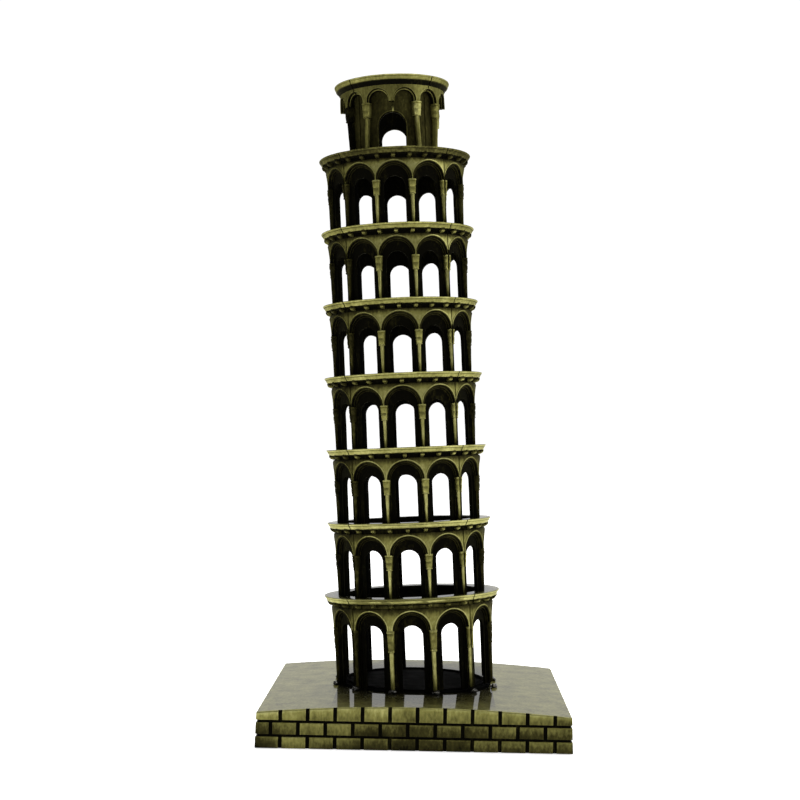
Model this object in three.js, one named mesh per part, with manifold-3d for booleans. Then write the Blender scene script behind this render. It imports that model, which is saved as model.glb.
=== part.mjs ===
// A die-cast souvenir model of a leaning, round, arcaded tower on a square brick-sided base.
//
// Frame: millimetres, +Z up, origin at the centre of the underside, -Y is the front.
// The tower is four alike quarter castings, butted at seams 45 degrees off the front and joined
// with solder. They stand on a foot plate, which four screws hold from inside the hollow base.

import * as THREE from 'three';
import { mergeVertices } from 'three/addons/utils/BufferGeometryUtils.js';
import Module from 'manifold-3d';

const wasm = await Module();
wasm.setup();

// ---------------------------------------------------------------- driving dimensions

const GAP = 0.3;                      // clearance kept between neighbouring pieces
const LEAN_LEFT = 3.2;                // degrees the tower leans towards -X
const LEAN_BACK = 1.3;                // degrees the tower leans towards +Y
const FOOT = { x: -0.2, y: 1.4 };     // where the tower's axis meets the base

const BASE_SIDE = 66;                 // square base, at its top edge
const BASE_DRAFT = 0.25;              // how much wider each side is at the bottom
const BASE_EDGE = 7.7;                // height of the left and right top edges
const BASE_CROWN = 1.5;               // extra height along the middle, a barrel running front to back
const BASE_LIFT = 0.2;                // the casting's rim is this far above the table
const BASE_WALL = 3.8;                // side walls
const BASE_ROOF = 5.9;                // height of the roof's underside
const REBATE = { wall: 1.8, top: 1.4 };   // step in the rim that takes the felt
const FELT_THICKNESS = 1.1;

const BRICKS_PER_SIDE = 11.5;
const JOINT_DEPTH = 0.35;
const JOINT_WIDTH = 0.7;              // upright mortar joints
const BED_WIDTH = 0.4;                // level mortar joints
const BEDS = [2.85, 5.8];             // heights of the level joints' middles
const COURSE_STARTS = [0.88, 0.53, 0.88];   // first joint of each course, in bricks from the left

const PLATE = { radius: 17, bottom: 8.4, top: 9.4, ring: 15.9, ringWidth: 0.7, ringHeight: 0.4 };
const SEAT_FLOOR = PLATE.bottom - GAP;
const BOSS = { circle: 11, radius: 2.4, bottom: 6.2, bore: 1.25, boreTop: 8.8 };
const BOSS_HOLE = BOSS.radius + GAP + 0.1;
const WASHER = { radius: 3.8, bore: 1.25, top: BASE_ROOF - GAP, thickness: 0.5 };
const SCREW = { shank: 0.95, head: 2.2, headHeight: 1.5, tip: 8.5, slotHalf: 0.3, slotDepth: 0.6 };
const SEAM_RUN = { foot: 1.5, width: 1.4, thickness: 0.6, clearance: GAP + 0.05 };
const DROP = { along: 1.0, out: 0.55, up: 0.55 };   // half-axes of a drop of solder

// Storeys below the belfry, from the ground up: height from floor to floor, outer radius of the
// arcade, and how far the ledge on top reaches past it. The lowest has longer capitals.
const STOREYS = [
  { height: 20.5, radius: 18.4, reach: 1.7, capital: 4.8 },
  { height: 16.5, radius: 17.3, reach: 1.5, capital: 3.4 },
  { height: 16.6, radius: 16.9, reach: 1.5, capital: 3.4 },
  { height: 16.5, radius: 16.6, reach: 1.6, capital: 3.4 },
  { height: 16.6, radius: 16.4, reach: 1.5, capital: 3.4 },
  { height: 16.7, radius: 16.15, reach: 1.5, capital: 3.4 },
  { height: 16.9, radius: 15.95, reach: 1.55, capital: 3.4 },
];
// The belfry. Its soffit, band and springing are heights below the top of its rim.
const BELFRY = {
  height: 17.1, radius: 12.05, rim: 13.3, depth: 1.6, wall: 0.9,
  soffit: 2.6, band: 1.2, bandSlope: 0.3,
  springing: 5.7, capital: 3.5, pendantHalf: 2, doorHalf: 2.95, doorHeight: 8.95,
};

const WALL_TAPER = 0.2;               // each storey is this much narrower at its foot
const ARCADE_DEPTH = 1.2;             // arcade in front of the inner wall
const INNER_WALL = 0.6;               // thickness of the inner wall
const LIP_DROP = 1.25;                // height of a ledge's sloping edge
const LIP_SLOPE = 0.7;                // how far that edge slopes in
const LEDGE_DEPTH = 1.6;              // ledge top down to where the soffit meets the wall
const SPRINGING = 7.1;                // ledge top down to the top of the capitals
const HOLE_CROWN = 6.1;               // ledge top down to the top of the hole in the inner wall
const HOLE_HALF = 2.35;
const CAPITAL_HALF = 0.8;
const SHAFT_HALF = 0.45;
const BAY = 30;                       // degrees from one bay to the next

const ROUND_STEPS = 24;               // facets round the tower
const ARCH_STEPS = 4;
const SMALL_STEPS = 10;               // facets round a screw
const BELOW_FOOT = 3;                 // castings are made this much too long, then trimmed level

const FINISH = {
  casting: { color: 0x7d7a3c, roughness: 0.42, metalness: 0.9 },
  base: { color: 0x87854a, roughness: 0.35, metalness: 0.9 },
  plate: { color: 0x191711, roughness: 0.7, metalness: 0.4 },
  solder: { color: 0x3a382c, roughness: 0.5, metalness: 0.7 },
  steel: { color: 0x9a9a96, roughness: 0.35, metalness: 1.0 },
  felt: { color: 0x22231f, roughness: 1.0, metalness: 0.0 },
};

// ---------------------------------------------------------------- solids

/** A closed three.js geometry as a manifold solid. */
function solid(geometry) {
  const bare = new THREE.BufferGeometry();
  bare.setAttribute('position', geometry.getAttribute('position').clone());
  if (geometry.index) bare.setIndex(geometry.index.clone());
  const merged = mergeVertices(bare, 1e-4);
  const vertProperties = new Float32Array(merged.getAttribute('position').array);
  const triVerts = new Uint32Array(merged.index.array);
  return new wasm.Manifold(new wasm.Mesh({ numProp: 3, vertProperties, triVerts }));
}

/** A manifold solid as a three.js geometry. */
function geometryOf(body) {
  const mesh = body.getMesh();
  const geometry = new THREE.BufferGeometry();
  geometry.setAttribute('position', new THREE.BufferAttribute(mesh.vertProperties.slice(), 3));
  geometry.setIndex(new THREE.BufferAttribute(mesh.triVerts.slice(), 1));
  geometry.computeVertexNormals();
  return geometry;
}

function named(name, body, finish) {
  const mesh = new THREE.Mesh(geometryOf(body), new THREE.MeshStandardMaterial(FINISH[finish]));
  mesh.name = name;
  return mesh;
}

function block(x0, x1, y0, y1, z0, z1) {
  const geometry = new THREE.BoxGeometry(x1 - x0, y1 - y0, z1 - z0);
  return solid(geometry.translate((x0 + x1) / 2, (y0 + y1) / 2, (z0 + z1) / 2));
}

/** An upright round bar about (x, y). */
function bar(x, y, radius, z0, z1, steps = SMALL_STEPS) {
  const geometry = new THREE.CylinderGeometry(radius, radius, z1 - z0, steps).rotateX(Math.PI / 2);
  return solid(geometry.translate(x, y, (z0 + z1) / 2));
}

/** A solid turned about Z from [radius, height] points that close on themselves. */
function turned(points, steps) {
  const outline = [...points, points[0]].map(([r, z]) => new THREE.Vector2(r, z));
  return solid(new THREE.LatheGeometry(outline, steps).rotateX(Math.PI / 2));
}

/** Width x height outline, pushed out to the front (-Y) from radius r0 to r1. */
function pushedOut(shape, r0, r1, curveSteps = ARCH_STEPS) {
  const settings = { depth: r1 - r0, bevelEnabled: false, curveSegments: curveSteps };
  return new THREE.ExtrudeGeometry(shape, settings).translate(0, 0, r0).rotateX(Math.PI / 2);
}

function atAngle(geometry, degrees) {
  return solid(geometry.clone().rotateZ(THREE.MathUtils.degToRad(degrees)));
}

function moved(body, matrix) {
  return body.transform(matrix.elements);
}

// ---------------------------------------------------------------- base

/** Height of the base's top at x. */
function baseTop(x) {
  return BASE_EDGE + BASE_CROWN * (1 - (2 * x / BASE_SIDE) ** 2);
}

/** Everything under the barrel-shaped top, out to halfWidth, raised by lift. */
function underCrown(halfWidth, floor, lift) {
  const steps = 12;
  const shape = new THREE.Shape();
  shape.moveTo(-halfWidth, floor);
  shape.lineTo(halfWidth, floor);
  for (let i = 0; i <= steps; i++) {
    const x = halfWidth * (1 - 2 * i / steps);
    shape.lineTo(x, baseTop(x) + lift);
  }
  shape.closePath();
  return solid(pushedOut(shape, -halfWidth, halfWidth));
}

/** The drafted block that the base's four sides bound. */
function draftedBlock() {
  const halfDiagonal = Math.SQRT1_2 * BASE_SIDE;
  const extra = Math.SQRT2 * BASE_DRAFT * BASE_LIFT / BASE_EDGE;
  const top = halfDiagonal - Math.SQRT2 * BASE_DRAFT * BASE_CROWN / BASE_EDGE;
  const bottom = halfDiagonal + Math.SQRT2 * BASE_DRAFT - extra;
  const height = BASE_EDGE + BASE_CROWN - BASE_LIFT;
  const geometry = new THREE.CylinderGeometry(top, bottom, height, 4).rotateX(Math.PI / 2);
  geometry.rotateZ(Math.PI / 4).translate(0, 0, BASE_LIFT + height / 2);
  return solid(geometry);
}

/** The mortar joints of the front side, as one cutter. */
function mortarJoints() {
  const half = BASE_SIDE / 2 + BASE_DRAFT;
  const brick = BASE_SIDE / BRICKS_PER_SIDE;
  const inside = -(BASE_SIDE / 2 + BASE_DRAFT / 2 - JOINT_DEPTH);
  const levels = [0, ...BEDS, BASE_EDGE + BASE_CROWN + 1];
  let cutter = null;
  const addBlock = (x0, x1, z0, z1) => {
    const piece = block(x0, x1, -half - 1, inside, z0, z1);
    cutter = cutter ? cutter.add(piece) : piece;
  };
  BEDS.forEach((z) => addBlock(-half - 1, half + 1, z - BED_WIDTH / 2, z + BED_WIDTH / 2));
  COURSE_STARTS.forEach((start, course) => {
    for (let i = 0; i < Math.ceil(BRICKS_PER_SIDE) - 1; i++) {
      const x = -BASE_SIDE / 2 + (start + i) * brick;
      addBlock(x - JOINT_WIDTH / 2, x + JOINT_WIDTH / 2, levels[course], levels[course + 1]);
    }
  });
  return cutter;
}

function quarterTurns(body) {
  const spun = [0, 90, 180, 270].map((degrees) => body.rotate([0, 0, degrees]));
  return spun.reduce((all, next) => all.add(next));
}

/** Centres of the four screws, in the base's frame. */
function screwPlaces() {
  return [0, 1, 2, 3].map((i) => {
    const angle = (i * Math.PI) / 2;
    return [FOOT.x + BOSS.circle * Math.sin(angle), FOOT.y - BOSS.circle * Math.cos(angle)];
  });
}

function baseShell() {
  let body = draftedBlock().intersect(underCrown(BASE_SIDE / 2 + 1, -1, 0));
  body = body.subtract(quarterTurns(mortarJoints()));
  const inner = BASE_SIDE / 2 - BASE_WALL;
  const step = BASE_SIDE / 2 - REBATE.wall;
  body = body.subtract(block(-inner, inner, -inner, inner, -1, BASE_ROOF));
  body = body.subtract(block(-step, step, -step, step, -1, REBATE.top));
  body = body.subtract(bar(FOOT.x, FOOT.y, PLATE.radius + GAP, SEAT_FLOOR, BASE_EDGE + 4, ROUND_STEPS));
  for (const [x, y] of screwPlaces()) {
    body = body.subtract(bar(x, y, BOSS_HOLE, BASE_ROOF - 1, SEAT_FLOOR + 1));
  }
  return body;
}

function feltPad() {
  const half = BASE_SIDE / 2 - REBATE.wall - GAP;
  return block(-half, half, -half, half, 0, FELT_THICKNESS);
}

function footPlate() {
  let body = bar(FOOT.x, FOOT.y, PLATE.radius, PLATE.bottom, PLATE.top, ROUND_STEPS);
  const ringTop = PLATE.top + PLATE.ringHeight;
  const inside = PLATE.ring - PLATE.ringWidth;
  const ring = bar(FOOT.x, FOOT.y, PLATE.ring, PLATE.top - 0.5, ringTop, ROUND_STEPS)
    .subtract(bar(FOOT.x, FOOT.y, inside, PLATE.top - 1, ringTop + 1, ROUND_STEPS));
  body = body.add(ring);
  for (const [x, y] of screwPlaces()) {
    body = body.add(bar(x, y, BOSS.radius, BOSS.bottom, PLATE.bottom + 0.5));
    body = body.subtract(bar(x, y, BOSS.bore, BOSS.bottom - 1, BOSS.boreTop));
  }
  return body;
}

function washer(x, y) {
  const bottom = WASHER.top - WASHER.thickness;
  const disc = bar(x, y, WASHER.radius, bottom, WASHER.top);
  return disc.subtract(bar(x, y, WASHER.bore, bottom - 1, WASHER.top + 1));
}

function screw(x, y) {
  const headTop = WASHER.top - WASHER.thickness - GAP;
  const headBottom = headTop - SCREW.headHeight;
  const { slotHalf, slotDepth } = SCREW;
  const slot = block(
    x - SCREW.head, x + SCREW.head, y - slotHalf, y + slotHalf, headBottom - 1, headBottom + slotDepth,
  );
  const head = bar(x, y, SCREW.head, headBottom, headTop).subtract(slot);
  return head.add(bar(x, y, SCREW.shank, headTop - 0.5, SCREW.tip));
}

// ---------------------------------------------------------------- tower

const storeyTops = STOREYS.map((_, i) => (
  STOREYS.slice(0, i + 1).reduce((sum, storey) => sum + storey.height, 0)
));
const belfryFloor = storeyTops[storeyTops.length - 1];
const rimTop = belfryFloor + BELFRY.height;

function innerRadius(storey) {
  return storey.radius - ARCADE_DEPTH - INNER_WALL;
}

/** [radius, height] points of the inner face, from the belfry's rim down, set in by offset. */
function innerFace(offset) {
  const points = [];
  for (let i = STOREYS.length - 1; i >= 0; i--) {
    const radius = innerRadius(STOREYS[i]) - offset;
    const ceiling = storeyTops[i] - LEDGE_DEPTH - offset / 2;
    const above = i + 1 < STOREYS.length ? innerRadius(STOREYS[i + 1]) - offset : null;
    if (above !== null) points.push([above, ceiling + (radius - above)]);
    points.push([radius, ceiling]);
  }
  return points;
}

/** The whole tower's wall and ledges, turned in one piece. */
function towerShell() {
  const outer = [[STOREYS[0].radius - WALL_TAPER, -BELOW_FOOT]];
  STOREYS.forEach((storey, i) => {
    const top = storeyTops[i];
    const ledge = storey.radius + storey.reach;
    const next = i + 1 < STOREYS.length ? STOREYS[i + 1].radius - WALL_TAPER : BELFRY.radius - WALL_TAPER;
    outer.push([storey.radius, top - LEDGE_DEPTH]);
    outer.push([ledge - LIP_SLOPE, top - LIP_DROP]);
    outer.push([ledge, top]);
    outer.push([next, top]);
  });
  outer.push([BELFRY.radius, rimTop - BELFRY.soffit]);
  outer.push([BELFRY.rim - BELFRY.bandSlope, rimTop - BELFRY.band]);
  outer.push([BELFRY.rim, rimTop]);
  const well = BELFRY.radius - BELFRY.depth - BELFRY.wall;
  const inner = [
    [well, rimTop],
    [well, belfryFloor - LEDGE_DEPTH],
    ...innerFace(0),
    [innerRadius(STOREYS[0]), -BELOW_FOOT],
  ];
  return turned([...outer, ...inner], ROUND_STEPS);
}

/** A round-headed outline from floor to crown. */
function archShape(half, floor, crown) {
  const shape = new THREE.Shape();
  shape.moveTo(-half, floor);
  shape.lineTo(half, floor);
  shape.absarc(0, crown - half, half, 0, Math.PI, false);
  shape.closePath();
  return shape;
}

/** The opening between two columns `pitch` either side of its middle: shafts, capitals, arch. */
function bayShape(pitch, floor, springing, capital) {
  const shaft = pitch - SHAFT_HALF;
  const head = pitch - CAPITAL_HALF;
  const shape = new THREE.Shape();
  shape.moveTo(-shaft, floor);
  shape.lineTo(shaft, floor);
  shape.lineTo(shaft, springing - capital);
  shape.lineTo(head, springing - capital);
  shape.absarc(0, springing, head, 0, Math.PI, false);
  shape.lineTo(-head, springing - capital);
  shape.lineTo(-shaft, springing - capital);
  shape.closePath();
  return shape;
}

/** Half the straight distance between the columns of one bay. */
function halfPitch(radius) {
  return radius * Math.sin(THREE.MathUtils.degToRad(BAY / 2));
}

/** What one storey's bays take out of a quarter. */
function storeyCutters(storey, index) {
  const floor = index === 0 ? -BELOW_FOOT - 1 : storeyTops[index - 1];
  const top = storeyTops[index];
  const face = storey.radius - ARCADE_DEPTH;
  const bay = bayShape(halfPitch(storey.radius), floor, top - SPRINGING, storey.capital);
  const arcade = pushedOut(bay, face, storey.radius + 2);
  const hole = pushedOut(archShape(HOLE_HALF, floor, top - HOLE_CROWN), face - 4, face + 0.5);
  return [-BAY, 0, BAY].flatMap((degrees) => [atAngle(arcade, degrees), atAngle(hole, degrees)]);
}

/** What the belfry's blind arcade and its doorway take out of a quarter. */
function belfryCutters() {
  const face = BELFRY.radius - BELFRY.depth;
  const front = BELFRY.radius + 1;
  const springing = rimTop - BELFRY.springing;
  const bay = bayShape(halfPitch(BELFRY.radius), belfryFloor, springing, BELFRY.capital);
  const arcade = pushedOut(bay, face, front);
  const { pendantHalf, doorHalf, doorHeight } = BELFRY;
  const underPendant = block(-pendantHalf, pendantHalf, -front, -face, belfryFloor, springing);
  const door = pushedOut(archShape(doorHalf, belfryFloor, belfryFloor + doorHeight), face - 4, front);
  return [-45, -15, 15, 45].map((degrees) => atAngle(arcade, degrees)).concat(underPendant, solid(door));
}

/** The 90 degree wedge that one quarter fills, less half a gap at each seam. */
function quarterWedge() {
  const apex = (GAP / 2) * Math.SQRT2;
  const far = 40;
  const plan = new THREE.Shape();
  plan.moveTo(0, -apex);
  plan.lineTo(-far, -far - apex);
  plan.lineTo(far, -far - apex);
  plan.closePath();
  const height = rimTop + 4 * BELOW_FOOT;
  const geometry = new THREE.ExtrudeGeometry(plan, { depth: height, bevelEnabled: false });
  return solid(geometry.translate(0, 0, -2 * BELOW_FOOT));
}

/** One quarter casting, before its foot is trimmed. */
function quarterBlank() {
  let body = towerShell().intersect(quarterWedge());
  STOREYS.forEach((storey, i) => {
    for (const cutter of storeyCutters(storey, i)) body = body.subtract(cutter);
  });
  for (const cutter of belfryCutters()) body = body.subtract(cutter);
  return body;
}

/** What the castings' feet stand on, raised by the gap: the crowned top, the plate and its ring. */
function footClearance() {
  const crown = underCrown(BASE_SIDE / 2, -2 * BASE_EDGE, GAP);
  const plate = bar(FOOT.x, FOOT.y, PLATE.radius + GAP, 0, PLATE.top + GAP, ROUND_STEPS);
  const ringRadius = PLATE.ring + GAP;
  const ring = bar(FOOT.x, FOOT.y, ringRadius, 0, PLATE.top + PLATE.ringHeight + GAP, ROUND_STEPS);
  return crown.add(plate).add(ring);
}

/** A run of solder up the inside of a seam, through the storeys below the belfry. */
function seamSolder() {
  const { foot, width, thickness, clearance } = SEAM_RUN;
  const radius = innerRadius(STOREYS[0]) - clearance;
  const liner = turned([
    [radius, foot],
    ...innerFace(clearance).reverse(),
    ...innerFace(clearance + thickness),
    [radius - thickness, foot],
  ], ROUND_STEPS);
  return liner.intersect(block(-width / 2, width / 2, -BASE_SIDE / 2, 0, 0, rimTop));
}

/** A drop of solder at the foot of the column at this angle, resting on the base. */
function footSolder(degrees) {
  const angle = THREE.MathUtils.degToRad(degrees);
  const radius = STOREYS[0].radius - WALL_TAPER + GAP + DROP.out;
  const x = FOOT.x + radius * Math.sin(angle);
  const y = FOOT.y - radius * Math.cos(angle);
  const drop = new THREE.SphereGeometry(1, 6, 4).rotateX(Math.PI / 2).scale(DROP.along, DROP.out, DROP.up);
  drop.rotateZ(angle).translate(x, y, baseTop(x) + GAP + DROP.up);
  return solid(drop);
}

// ---------------------------------------------------------------- assembly

const model = new THREE.Group();
model.add(named('base_shell', baseShell(), 'base'));
model.add(named('base_felt_pad', feltPad(), 'felt'));
model.add(named('foot_plate', footPlate(), 'plate'));

const SIDES = ['front', 'right', 'back', 'left'];
screwPlaces().forEach(([x, y], i) => {
  model.add(named(`foot_washer_${SIDES[i]}`, washer(x, y), 'steel'));
  model.add(named(`foot_screw_${SIDES[i]}`, screw(x, y), 'steel'));
});

const tower = new THREE.Group();
tower.position.set(FOOT.x, FOOT.y, baseTop(0));
const axis = new THREE.Vector3(
  -Math.tan(THREE.MathUtils.degToRad(LEAN_LEFT)),
  Math.tan(THREE.MathUtils.degToRad(LEAN_BACK)),
  1,
).normalize();
tower.quaternion.setFromUnitVectors(new THREE.Vector3(0, 0, 1), axis);
tower.updateMatrix();
model.add(tower);

const SEAMS = ['front_right', 'back_right', 'back_left', 'front_left'];
const blank = quarterBlank();
const clearance = footClearance();
SIDES.forEach((side, i) => {
  const turn = new THREE.Matrix4().makeRotationZ((i * Math.PI) / 2);
  const toQuarter = tower.matrix.clone().multiply(turn).invert();
  const casting = named(`tower_quarter_${side}`, blank.subtract(moved(clearance, toQuarter)), 'casting');
  casting.rotation.z = (i * Math.PI) / 2;
  tower.add(casting);
  const run = named(`seam_solder_${SEAMS[i]}`, seamSolder(), 'solder');
  run.rotation.z = (i * Math.PI) / 2 + Math.PI / 4;
  tower.add(run);
});

for (let i = 0; i < 12; i++) {
  const number = String(i + 1).padStart(2, '0');
  model.add(named(`foot_solder_${number}`, footSolder(BAY * (i + 0.5)), 'solder'));
}

export default model;
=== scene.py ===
"""A die-cast souvenir tower in antique brass: cast arcades, a brick-sided base and its fastenings.

Shapes are worked out in millimetres and scaled to metres when each mesh is made. The tower is
built upright, about its own axis, and a lean matrix then sets it on the base.
"""
import math

import bmesh
import bpy
from mathutils import Matrix, Vector, noise


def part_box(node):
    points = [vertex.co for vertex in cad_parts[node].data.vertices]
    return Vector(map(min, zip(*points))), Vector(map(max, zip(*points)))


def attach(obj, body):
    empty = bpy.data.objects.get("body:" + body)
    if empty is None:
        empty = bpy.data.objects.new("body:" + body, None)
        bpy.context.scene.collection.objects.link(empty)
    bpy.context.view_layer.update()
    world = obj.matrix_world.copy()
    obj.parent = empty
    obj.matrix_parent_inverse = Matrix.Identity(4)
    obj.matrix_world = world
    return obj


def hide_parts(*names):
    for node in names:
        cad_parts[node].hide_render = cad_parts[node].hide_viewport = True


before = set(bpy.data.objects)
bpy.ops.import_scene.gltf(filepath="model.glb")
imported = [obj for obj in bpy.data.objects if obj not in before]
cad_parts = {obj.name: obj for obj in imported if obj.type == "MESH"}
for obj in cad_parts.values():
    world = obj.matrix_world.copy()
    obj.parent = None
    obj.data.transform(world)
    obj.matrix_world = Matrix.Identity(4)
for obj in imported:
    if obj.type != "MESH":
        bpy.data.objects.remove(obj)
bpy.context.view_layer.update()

MM = 0.001
noise.seed_set(1)                     # noise_vector would otherwise start from the clock


def box_mm(node):
    """A CAD node's lowest and highest corners, in millimetres."""
    low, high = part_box(node)
    return Vector(low) / MM, Vector(high) / MM


# ---------------------------------------------------------------- sizes, in millimetres

BASE_LOW, BASE_HIGH = box_mm("base_shell")
FELT_LOW, FELT_HIGH = box_mm("base_felt_pad")
PLATE_LOW, PLATE_HIGH = box_mm("foot_plate")

LEAN_LEFT, LEAN_BACK = 3.2, 1.3       # degrees
FOOT = (PLATE_LOW + PLATE_HIGH) / 2   # the tower's axis meets the base above this point
PLATE_TOP = PLATE_HIGH.z - 0.4        # a low ring stands up from the plate
CROWN = 1.5                           # how far the base's top rises along its middle
BASE_TOP = BASE_HIGH.z
BASE_FOOT = BASE_HIGH.x               # half the base's side, at the bottom
BASE_DRAFT = 0.24                     # how much narrower each side is at the top
SEAM = 0.14                           # half the width of the joint between two quarters

# Storeys below the belfry: height, outer radius, how far the ledge reaches, capital's height.
STOREYS = [
    (20.5, 18.4, 1.7, 4.8),
    (16.5, 17.3, 1.5, 3.4),
    (16.6, 16.9, 1.5, 3.4),
    (16.5, 16.6, 1.6, 3.4),
    (16.6, 16.4, 1.5, 3.4),
    (16.7, 16.15, 1.5, 3.4),
    (16.9, 15.95, 1.55, 3.4),
]
BELFRY_HEIGHT, BELFRY_RADIUS, RIM_RADIUS = 17.1, 12.05, 13.3
DRUM_RADIUS, WELL_RADIUS = 10.45, 9.55
SPRINGING = 7.1                       # ledge top down to the top of the capitals
HOLE_CROWN, HOLE_HALF = 6.1, 2.4
WALL_TOP = 1.5                        # the walls run up into the ledge to this far below its top
ARCADE_DEPTH, WALL_DEPTH = 1.2, 1.8   # the wall's outer and inner faces, behind the arcade's face
SEAM_ANGLE, HALF_BAY = 45, 15         # degrees: the seams either side of a quarter's middle
BAY_ANGLES, COLUMN_ANGLES = (-30, 0, 30), (-SEAM_ANGLE, -HALF_BAY, HALF_BAY, SEAM_ANGLE)
BORE = 1.25                           # the bosses' and washers' holes
QUARTERS = ["front", "right", "back", "left"]


def base_top(x):
    """Height of the base's barrel-shaped top at x."""
    return BASE_TOP - CROWN * (x / (BASE_FOOT - BASE_DRAFT)) ** 2


LEAN_AXIS = Vector((-math.tan(math.radians(LEAN_LEFT)), math.tan(math.radians(LEAN_BACK)), 1))
LEAN = (Matrix.Translation((FOOT.x, FOOT.y, BASE_TOP))
        @ Vector((0, 0, 1)).rotation_difference(LEAN_AXIS).to_matrix().to_4x4())


# ---------------------------------------------------------------- mesh building

class Shells:
    """Closed shells under construction: points in millimetres, faces, and each point's wear."""

    def __init__(self):
        self.points, self.wear, self.faces = [], [], []
        self.known = {}

    def point(self, position, wear, weld=None):
        """Adds a point, or finds the one already there when weld names its shell."""
        key = (weld, *(round(value, 3) for value in position))
        if weld is not None and key in self.known:
            return self.known[key]
        self.points.append(Vector(position))
        self.wear.append(wear)
        self.known[key] = len(self.points) - 1
        return len(self.points) - 1

    def loft(self, sections, closed=False, weld=None):
        """Closed outlines of (position, wear), joined in order and capped at both ends."""
        rows = [[self.point(p, w, weld) for p, w in section] for section in sections]
        pairs = list(zip(rows, rows[1:] + rows[:1])) if closed else list(zip(rows, rows[1:]))
        for a, b in pairs:
            for i in range(len(a)):
                j = (i + 1) % len(a)
                self.face(a[i], a[j], b[j], b[i])
        if not closed:
            self.face(*rows[0])
            self.face(*rows[-1])

    def face(self, *corners):
        kept = [c for i, c in enumerate(corners) if c != corners[i - 1]]
        if len(set(kept)) == len(kept) >= 3:
            self.faces.append(kept)


def roughened(point, amount, size):
    """The small unevenness of a cast surface."""
    return point + amount * noise.noise_vector(point / size)


def piece(name, shells, material, replaced, crease=35, place=None, uneven=0.03):
    """Makes the object, with flat creases and smooth rounds, and sets it in the frame."""
    mesh = bpy.data.meshes.new(name)
    points = [place(p) if place else p for p in shells.points]
    points = [roughened(p, uneven, 1.6) for p in points]
    mesh.from_pydata([p * MM for p in points], [], shells.faces)
    # This attribute carries worn brass, and also painted shade and light laid into the colour.
    layer = mesh.attributes.new("wear", "FLOAT", "POINT")
    layer.data.foreach_set("value", shells.wear)
    work = bmesh.new()
    work.from_mesh(mesh)
    bmesh.ops.recalc_face_normals(work, faces=work.faces)
    bmesh.ops.triangulate(work, faces=[f for f in work.faces if len(f.verts) > 4])
    for face in work.faces:
        face.smooth = True
    for edge in work.edges:
        edge.smooth = edge.calc_face_angle(0) < math.radians(crease)
    work.to_mesh(mesh)
    work.free()
    mesh.materials.append(material)
    made = bpy.data.objects.new(name, mesh)
    bpy.context.scene.collection.objects.link(made)
    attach(made, "root")
    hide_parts(*replaced)
    return made


def blend(a, b, t):
    return a + (b - a) * t


def around(degrees, radius, height):
    """A point about the tower's axis; 0 degrees is the front and 90 the right."""
    angle = math.radians(degrees)
    return Vector((radius * math.sin(angle), -radius * math.cos(angle), height))


def across(centre, x, radius, height):
    """A point x to the right of the bay's middle, at this radius."""
    return around(centre + math.degrees(math.asin(x / radius)), radius, height)


# ---------------------------------------------------------------- one quarter of the tower

def storey_tops():
    tops, height = [], 0
    for storey in STOREYS:
        height += storey[0]
        tops.append(height)
    return tops


TOPS = storey_tops()
RIM_TOP = TOPS[-1] + BELFRY_HEIGHT


def sector(shells, outline):
    """A quarter turn of (radius, height, wear) points."""
    steps = 30
    angles = [SEAM_ANGLE * (2 * i / steps - 1) for i in range(steps + 1)]
    shells.loft([[(around(a, r, h), w) for r, h, w in outline] for a in angles])


LEDGE_WEAR = [1.05, 1.04, 0.97, 0.88, 0.85, 0.81, 0.46]     # from the ground up


def ledge(shells, level):
    """The gallery floor: a two-tier lip, its soffit, and the slab that the walls run into."""
    top = TOPS[level]
    _, radius, reach, _ = STOREYS[level]
    edge = radius + reach
    inside = radius - WALL_DEPTH
    last = level + 1 == len(STOREYS)
    above = WELL_RADIUS if last else STOREYS[level + 1][1] - WALL_DEPTH
    slope = 0 if last else inside - above
    kept = LEDGE_WEAR[level]
    outline = [
        (above, top, 0.0),
        (radius - 1.0, top, 0.0),
        (radius - 0.2, top, 0.3),
        (edge - 0.22, top, 0.45),
        (edge - 0.06, top - 0.04, 0.95),
        (edge, top - 0.16, 1.0),
        (edge - 0.16, top - 0.42, 0.85),
        (edge - 0.30, top - 0.47, 0.4),
        (edge - 0.29, top - 0.55, 0.8),
        (edge - 0.56, top - 1.06, 0.85),
        (edge - 0.66, top - 1.21, 0.95),
        (edge - 0.78, top - 1.26, 0.2),
        (radius + 0.25, top - 1.42, 0.0),
        (radius - 0.05, top - 1.58, 0.0),
        (radius - 0.6, top - 1.62, 0.0),
        (inside, top - 1.62, 0.0),
        (above, top - 1.62 + slope, 0.0),
    ]
    sector(shells, [(r, h, wear * kept) for r, h, wear in outline])


def side_shading(angle, least=0.1):
    """How much of its tone a part at this angle keeps: painted shade darkens the left and the far right,
    the sides the light reaches less.
    """
    turn = (angle + 180) % 360 - 180
    left, right = math.exp(-((turn + 64) / 28) ** 2), math.exp(-((turn - 78) / 16) ** 2)
    return 1 - (1 - least) * max(left, 0.8 * right)


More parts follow.
